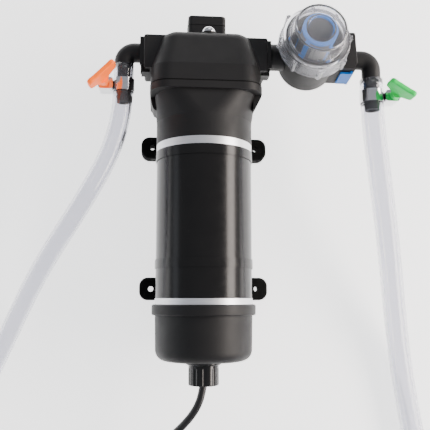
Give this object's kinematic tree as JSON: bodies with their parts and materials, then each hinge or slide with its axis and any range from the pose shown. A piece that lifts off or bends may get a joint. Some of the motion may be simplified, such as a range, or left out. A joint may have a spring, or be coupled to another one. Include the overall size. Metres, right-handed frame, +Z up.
{
  "type": "diaphragm water pump",
  "caption": "Motor-driven diaphragm water pump with inline strainer, clip-on elbows, clamped clear hoses, rubber-footed brackets and a mains lead.",
  "frame": {"origin": "centre of the four foot holes, on the surface that the rubber feet stand on", "axes": "+Y along the motor axis from the cable gland to the pump head, +X towards the strainer and inlet, +Z up from the feet"},
  "size_m": [0.5063, 0.6569, 0.131],
  "materials": {
    "black_moulding": "fine-textured moulded black plastic",
    "can_paint": "glossy black paint",
    "bare_aluminium": "turned and brushed",
    "gloss_black": "glossy moulded plastic",
    "black_rubber": "matt rubber",
    "bracket_paint": "black powder coat",
    "plain_steel": "machined",
    "polished_steel": "polished stainless",
    "laminations": "stacked electrical steel",
    "copper": "enamelled and bare copper",
    "ferrite": "sintered ferrite",
    "carbon": "pressed carbon",
    "phenolic": "moulded phenolic",
    "cast_aluminium": "cast and machined",
    "white_acetal": "natural acetal",
    "clear_bowl": "clear moulded plastic",
    "clear_hose": "clear soft PVC",
    "screen_steel": "woven stainless mesh",
    "screen_blue": "blue moulded plastic",
    "clip_blue": "blue moulded plastic",
    "key_orange": "orange moulded plastic",
    "key_green": "green moulded plastic",
    "cord_black": "smooth PVC jacket"
  },
  "bodies": {
    "pump": {"pump_head": "black_moulding", "lower_housing": "black_moulding", "end_cap": "black_moulding", "strainer_body": "black_moulding", "outlet_elbow": "black_moulding", "inlet_elbow": "black_moulding", "switch_box": "black_moulding", "switch_cover": "black_moulding", "motor_can": "can_paint", "can_bands": "can_paint", "rear_end_frame": "bare_aluminium", "front_end_frame": "bare_aluminium", "gland_body": "gloss_black", "gland_nut": "gloss_black", "plug": "gloss_black", "rubber_feet": "black_rubber", "gland_seal": "black_rubber", "diaphragm": "black_rubber", "head_seal": "black_rubber", "port_orings": "black_rubber", "check_valves": "black_rubber", "rear_foot_bracket": "bracket_paint", "front_foot_bracket": "bracket_paint", "bracket_screws": "plain_steel", "head_screws": "plain_steel", "motor_bearings": "plain_steel", "outlet_clamp_band": "polished_steel", "inlet_clamp_band": "polished_steel", "magnets": "ferrite", "carbon_brushes": "carbon", "brush_holder": "phenolic", "valve_plate": "white_acetal", "microswitch": "white_acetal", "outlet_hose": "clear_hose", "outlet_hose_coil": "clear_hose", "inlet_hose": "clear_hose", "inlet_hose_coil": "clear_hose", "screen_mesh": "screen_steel", "screen_frame": "screen_blue", "power_cord": "cord_black", "power_cord_tail": "cord_black", "power_cord_coil": "cord_black"},
    "rotor": {"motor_shaft": "plain_steel", "armature_core": "laminations", "windings": "copper", "commutator": "copper", "eccentric_hub": "cast_aluminium"},
    "wobble": {"wobble_bearing": "plain_steel", "wobble_plate": "cast_aluminium", "pistons": "white_acetal"},
    "outlet_clip": {"outlet_clip": "black_moulding"},
    "inlet_clip": {"inlet_clip": "black_moulding"},
    "strainer_clip": {"strainer_clip": "clip_blue"},
    "outlet_key": {"outlet_clamp_key": "key_orange"},
    "inlet_key": {"inlet_clamp_key": "key_green"},
    "bowl_lift": {"bowl_oring": "black_rubber"},
    "bowl": {"strainer_bowl": "clear_bowl"},
    "adjuster": {"adjust_screw": "polished_steel"},
    "plunger": {"switch_plunger": "white_acetal"}
  },
  "joints": [
    {"name": "rotor_spin", "type": "hinge", "parent": "pump", "child": "rotor", "pos_m": [0, 0, 0.058], "axis": [0, 1, 0], "continuous": true},
    {"name": "wobble_nutation", "type": "hinge", "parent": "rotor", "child": "wobble", "pos_m": [0, 0.078, 0.058], "axis": [-0.061, 0.9981, 0], "continuous": true},
    {"name": "bowl_lift", "type": "slide", "parent": "pump", "child": "bowl_lift", "axis": [0, 0.1392, 0.9903], "range_m": [0, 0.0075]},
    {"name": "bowl_turn", "type": "hinge", "parent": "bowl_lift", "child": "bowl", "pos_m": [0.0995, 0.1495, 0.072], "axis": [0, 0.1392, 0.9903], "range_deg": [0, 900]},
    {"name": "outlet_clip_pull", "type": "slide", "parent": "pump", "child": "outlet_clip", "axis": [0, -1, 0], "range_m": [0, 0.012]},
    {"name": "inlet_clip_pull", "type": "slide", "parent": "pump", "child": "inlet_clip", "axis": [0, -1, 0], "range_m": [0, 0.012]},
    {"name": "strainer_clip_pull", "type": "slide", "parent": "pump", "child": "strainer_clip", "axis": [0, -0.9903, 0.1392], "range_m": [0, 0.012]},
    {"name": "outlet_key_turn", "type": "hinge", "parent": "pump", "child": "outlet_key", "pos_m": [-0.09471, 0.1168, 0.086], "axis": [0, 0, 1], "range_deg": [0, 990]},
    {"name": "inlet_key_turn", "type": "hinge", "parent": "pump", "child": "inlet_key", "pos_m": [0.18196, 0.1124, 0.082], "axis": [0, 0, 1], "range_deg": [0, 990]},
    {"name": "adjuster_turn", "type": "hinge", "parent": "pump", "child": "adjuster", "pos_m": [0.0023, 0.16, 0.0842], "axis": [0, 1, 0], "range_deg": [-180, 180]},
    {"name": "plunger_press", "type": "slide", "parent": "pump", "child": "plunger", "axis": [0, 1, 0], "range_m": [0, 0.001], "stiffness_N_per_m": 400, "springref_m": -0.0005}
  ],
  "couplings": [
    {"joint": "wobble_nutation", "follows": "rotor_spin", "ratio": -1},
    {"joint": "bowl_turn", "follows": "bowl_lift", "rad_per_m": 2094.4}
  ]
}
